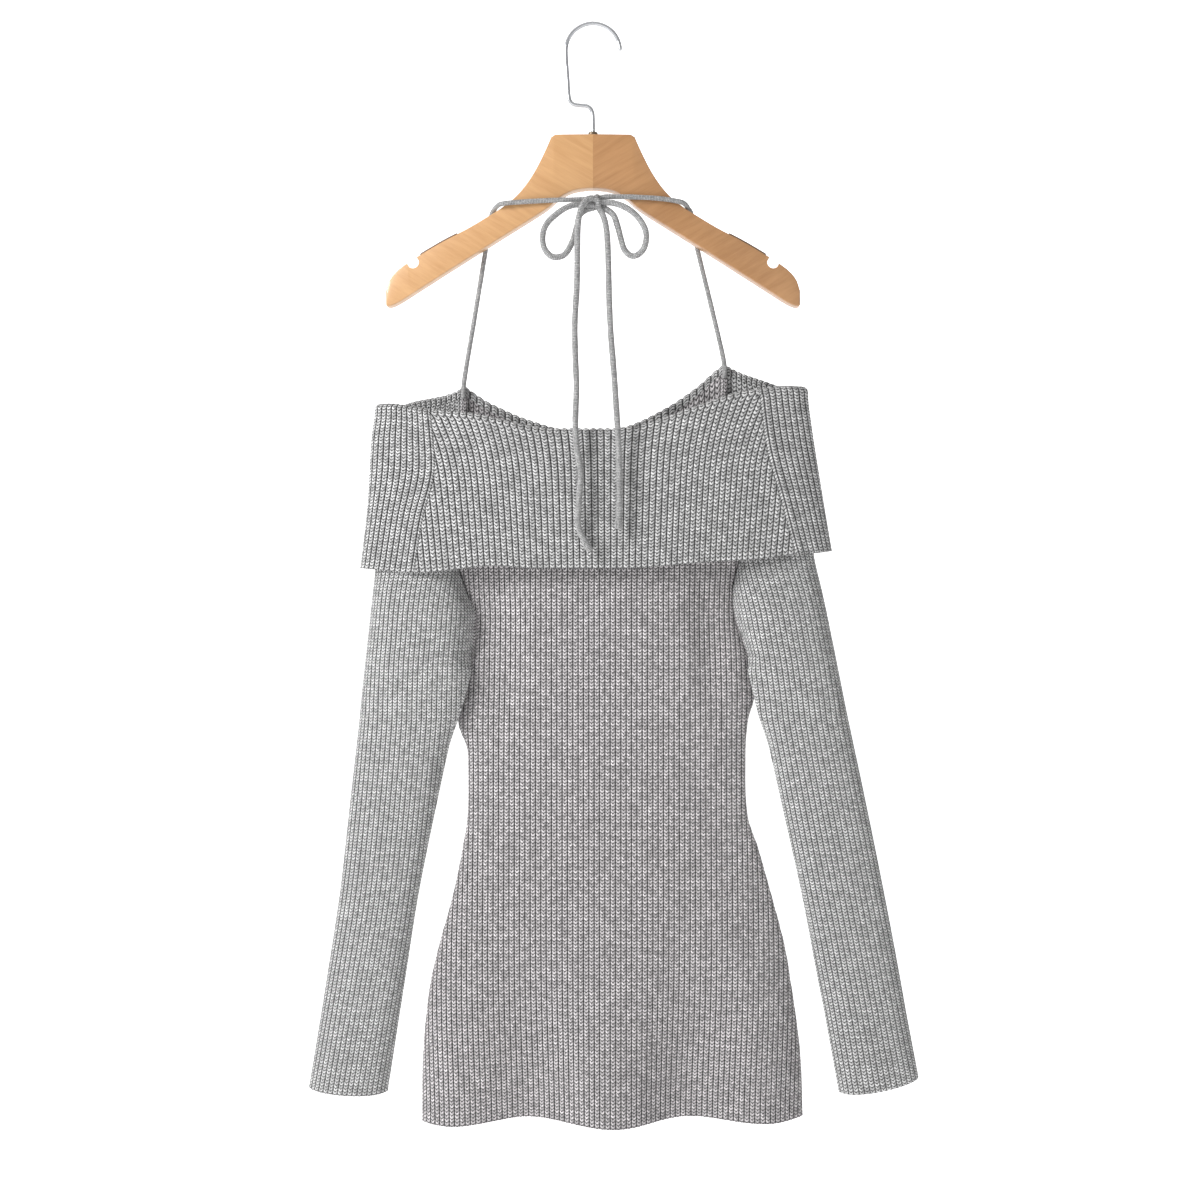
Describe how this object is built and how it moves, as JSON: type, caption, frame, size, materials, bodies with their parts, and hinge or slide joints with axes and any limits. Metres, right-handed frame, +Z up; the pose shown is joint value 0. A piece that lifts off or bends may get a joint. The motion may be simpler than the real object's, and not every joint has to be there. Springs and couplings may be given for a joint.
{
  "type": "sweater dress on a hanger",
  "caption": "Fitted rib-knit sweater dress with long sleeves and a wide turned-down off-shoulder collar, hung by the bow of its halter cords from a contoured wooden hanger",
  "frame": {"origin": "on the inner side of the hook's crown, where the rail carries it", "axes": "+Z up, +X to the right seen from the dress's back, which faces -Y; the front of the dress faces +Y"},
  "size_m": [0.5865, 0.077, 1.0578],
  "materials": {
    "knit": "heather grey rib knit",
    "cord": "heather grey knitted cord",
    "birch": "clear satin lacquer",
    "grip": "dark brown, matt",
    "wire": "polished",
    "ferrule": "dark"
  },
  "bodies": {
    "root": {"body_back": "knit", "body_front": "knit", "upper_sleeve_left": "knit", "lower_sleeve_left": "knit", "upper_sleeve_right": "knit", "lower_sleeve_right": "knit", "collar_back": "knit", "collar_front": "knit", "collar_left": "knit", "collar_right": "knit", "strap_left": "cord", "strap_right": "cord", "bow_loop_left": "cord", "bow_loop_right": "cord", "tail_left": "cord", "tail_right": "cord", "knot": "cord", "hanger_left": "birch", "hanger_right": "birch", "grip_left": "grip", "grip_right": "grip", "hook": "wire", "ferrule": "ferrule"}
  },
  "joints": []
}
